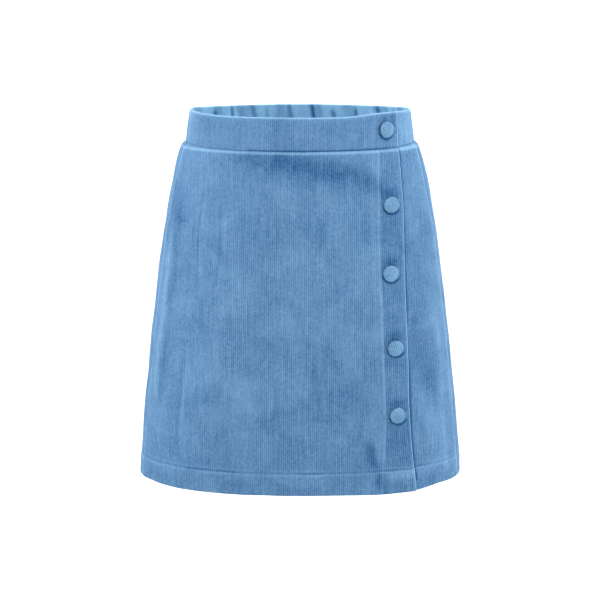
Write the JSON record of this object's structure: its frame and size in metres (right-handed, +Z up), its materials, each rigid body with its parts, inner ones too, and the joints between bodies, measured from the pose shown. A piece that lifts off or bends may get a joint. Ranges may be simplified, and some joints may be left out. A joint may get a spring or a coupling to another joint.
{
  "type": "corduroy skirt",
  "caption": "Short A-line corduroy skirt in its worn form, with a gathered back waist and an off-centre buttoned front overlap.",
  "frame": {"origin": "centre of the waist ring, at half the waistband's height, where the wearer's waist holds the skirt up", "axes": "+Z up, -Y towards the front of the skirt, +X towards the viewer's right, the side of the buttons"},
  "size_m": [0.3845, 0.2525, 0.4356],
  "materials": {
    "corduroy": "soft ribbed pile",
    "button_cover": "cloth stretched over a domed cap"
  },
  "bodies": {
    "root": {"waistband_front": "corduroy", "waistband_under": "corduroy", "waistband_back": "corduroy", "front_panel": "corduroy", "placket": "corduroy", "under_panel": "corduroy", "back_panel": "corduroy", "button_1": "button_cover", "button_2": "button_cover", "button_3": "button_cover", "button_4": "button_cover", "button_5": "button_cover"}
  },
  "joints": []
}
